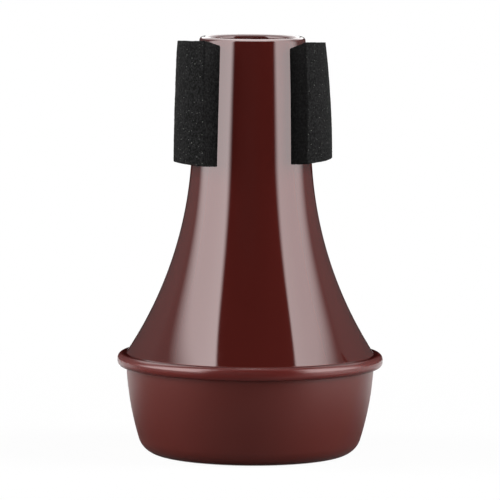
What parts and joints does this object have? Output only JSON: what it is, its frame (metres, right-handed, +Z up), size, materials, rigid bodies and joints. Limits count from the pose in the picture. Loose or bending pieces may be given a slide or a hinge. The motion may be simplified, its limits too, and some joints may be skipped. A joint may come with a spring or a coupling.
{
  "type": "trumpet mute",
  "caption": "Straight mute for a trumpet: glossy flared body with an open neck and a beaded wide end, closed by a satin cup, with foam strips bent round the neck.",
  "frame": {"origin": "middle of the flat base that the mute stands on", "axes": "+Z up the mute's own axis, from the base to the open neck; -Y is the front of the picture and +X is its right"},
  "size_m": [0.089, 0.089, 0.14],
  "materials": {
    "gloss_wine_abs": "injection-moulded ABS, polished to a high gloss",
    "satin_wine_abs": "injection-moulded ABS with a fine satin texture",
    "black_foam": "closed-cell foam, matte, with fine open cells on its cut faces",
    "adhesive_tape": "thin black double-sided tape"
  },
  "bodies": {
    "root": {"flared_body": "gloss_wine_abs", "base_cup": "satin_wine_abs", "foam_pad_left": "black_foam", "foam_pad_right": "black_foam", "foam_pad_rear": "black_foam", "pad_tape_left": "adhesive_tape", "pad_tape_right": "adhesive_tape", "pad_tape_rear": "adhesive_tape"}
  },
  "joints": []
}
